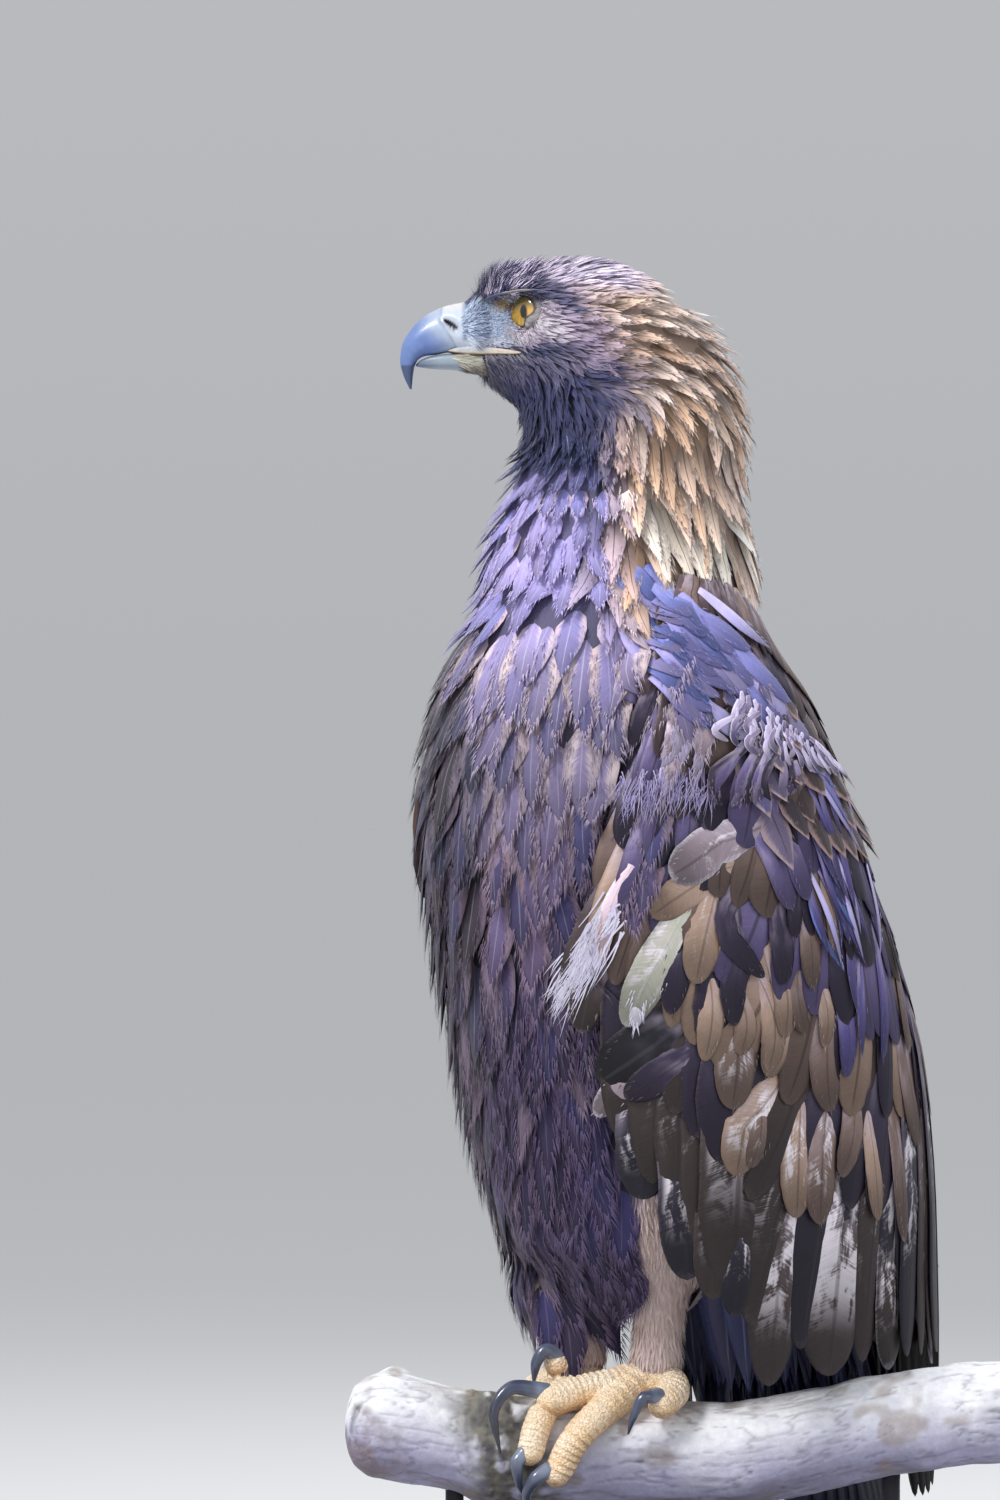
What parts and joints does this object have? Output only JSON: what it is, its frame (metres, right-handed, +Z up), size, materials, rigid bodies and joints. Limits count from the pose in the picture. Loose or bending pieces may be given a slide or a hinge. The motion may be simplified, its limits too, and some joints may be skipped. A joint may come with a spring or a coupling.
{
  "type": "golden eagle on a perch, display model",
  "caption": "Life-size still model of a golden eagle standing upright on a cut length of branch, head turned to one side, near wing drooping, on a plain round stand.",
  "frame": {"origin": "centre of the underside of the stand's round base", "axes": "+Z up; the bird's body faces -Y and its left side is +X; the head is turned towards the bird's right"},
  "size_m": [0.34, 0.3433, 0.7975],
  "materials": {
    "plumage_body": "feathers, dark brown with paler streaks, satin sheen",
    "plumage_head": "pointed feathers, golden at the nape, grey-brown on the crown",
    "plumage_wing": "vaned feathers with dark shafts, brown to violet-brown, white marbling low down",
    "plumage_tail": "vaned feathers, blue-black, soft sheen",
    "plumage_leg": "short hair-like feathers, buff on the shank",
    "toe_skin": "scaly yellow-orange skin, satin",
    "claw_horn": "polished blue-black horn",
    "bill_horn": "blue-grey horn, darker to the tip, yellowish at the base",
    "eye_amber": "wet amber iris with a black pupil",
    "perch_wood": "weathered grey bark-less wood with cracks",
    "stand_black": "satin black"
  },
  "bodies": {
    "root": {"head": "plumage_head", "neck": "plumage_head", "trunk": "plumage_body", "tail": "plumage_tail", "wing_left": "plumage_wing", "wing_right": "plumage_wing", "leg_left": "plumage_leg", "leg_right": "plumage_leg", "foot_left": "toe_skin", "foot_right": "toe_skin", "bill_upper": "bill_horn", "bill_lower": "bill_horn", "eye_left": "eye_amber", "eye_right": "eye_amber", "perch": "perch_wood", "stand_base": "stand_black", "stand_rod_1": "stand_black", "stand_rod_2": "stand_black", "claw_left_1": "claw_horn", "claw_left_2": "claw_horn", "claw_left_3": "claw_horn", "claw_left_4": "claw_horn", "claw_right_1": "claw_horn", "claw_right_2": "claw_horn", "claw_right_3": "claw_horn", "claw_right_4": "claw_horn"}
  },
  "joints": []
}
